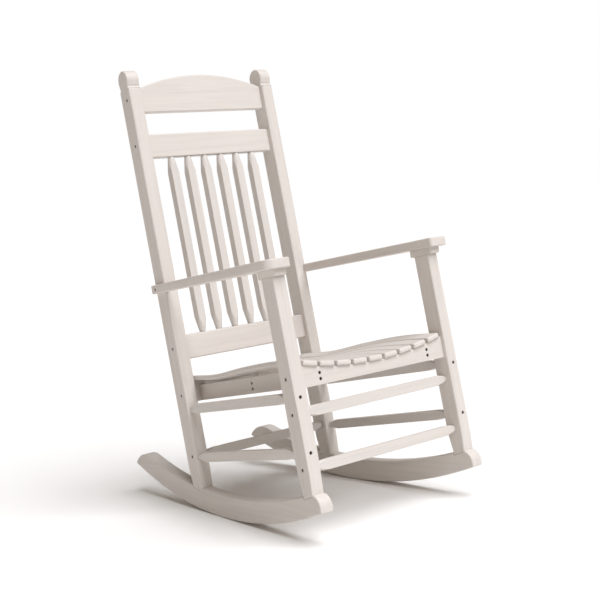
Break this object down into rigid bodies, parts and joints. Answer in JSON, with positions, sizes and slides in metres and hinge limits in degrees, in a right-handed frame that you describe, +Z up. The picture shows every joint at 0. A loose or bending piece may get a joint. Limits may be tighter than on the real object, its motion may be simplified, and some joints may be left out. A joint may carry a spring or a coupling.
{
  "type": "rocking chair",
  "caption": "High-backed porch rocker in painted wood: slatted dished seat, spindle back under an arched crest rail, flat arms and long curved rockers joined by stretchers",
  "frame": {"origin": "on the floor, in the middle of the chair's width and of its front-to-back length, with the chair balanced on its rockers", "axes": "+X to the sitter's left (the viewer's right from the front), front of the chair faces -Y, +Z up"},
  "size_m": [0.5756, 0.908, 1.1793],
  "materials": {
    "painted_posts": "warm white satin paint over faint vertical grain",
    "painted_rockers": "warm white satin paint over faint vertical grain",
    "painted_arms": "warm white satin paint over faint vertical grain",
    "painted_back_rails": "warm white satin paint over faint vertical grain",
    "painted_spindles": "warm white satin paint over faint vertical grain",
    "painted_seat_rails": "warm white satin paint over faint vertical grain",
    "painted_slats": "warm white satin paint over faint vertical grain",
    "painted_stretchers": "warm white satin paint over faint vertical grain",
    "screw_steel": "dull zinc"
  },
  "bodies": {
    "root": {"rear_post_left": "painted_posts", "rear_post_right": "painted_posts", "front_post_left": "painted_posts", "front_post_right": "painted_posts", "rocker_left": "painted_rockers", "rocker_right": "painted_rockers", "arm_left": "painted_arms", "arm_right": "painted_arms", "arm_block_left": "painted_arms", "arm_block_right": "painted_arms", "crest_rail": "painted_back_rails", "upper_back_rail": "painted_back_rails", "lower_back_rail": "painted_back_rails", "spindle_1": "painted_spindles", "spindle_2": "painted_spindles", "spindle_3": "painted_spindles", "spindle_4": "painted_spindles", "spindle_5": "painted_spindles", "spindle_6": "painted_spindles", "seat_front_rail": "painted_seat_rails", "seat_rear_rail": "painted_seat_rails", "seat_side_rail_left": "painted_seat_rails", "seat_side_rail_right": "painted_seat_rails", "seat_mid_support": "painted_seat_rails", "seat_slat_1": "painted_slats", "seat_slat_2": "painted_slats", "seat_slat_3": "painted_slats", "seat_slat_4": "painted_slats", "seat_slat_5": "painted_slats", "seat_slat_6": "painted_slats", "seat_slat_7": "painted_slats", "seat_slat_8": "painted_slats", "seat_slat_9": "painted_slats", "front_stretcher_upper": "painted_stretchers", "front_stretcher_lower": "painted_stretchers", "side_stretcher_upper_left": "painted_stretchers", "side_stretcher_upper_right": "painted_stretchers", "side_stretcher_lower_left": "painted_stretchers", "side_stretcher_lower_right": "painted_stretchers", "rear_stretcher": "painted_stretchers", "rear_post_screws": "screw_steel", "front_post_screws": "screw_steel", "seat_frame_screws": "screw_steel", "arm_screws": "screw_steel", "rocker_bolts": "screw_steel"}
  },
  "joints": []
}
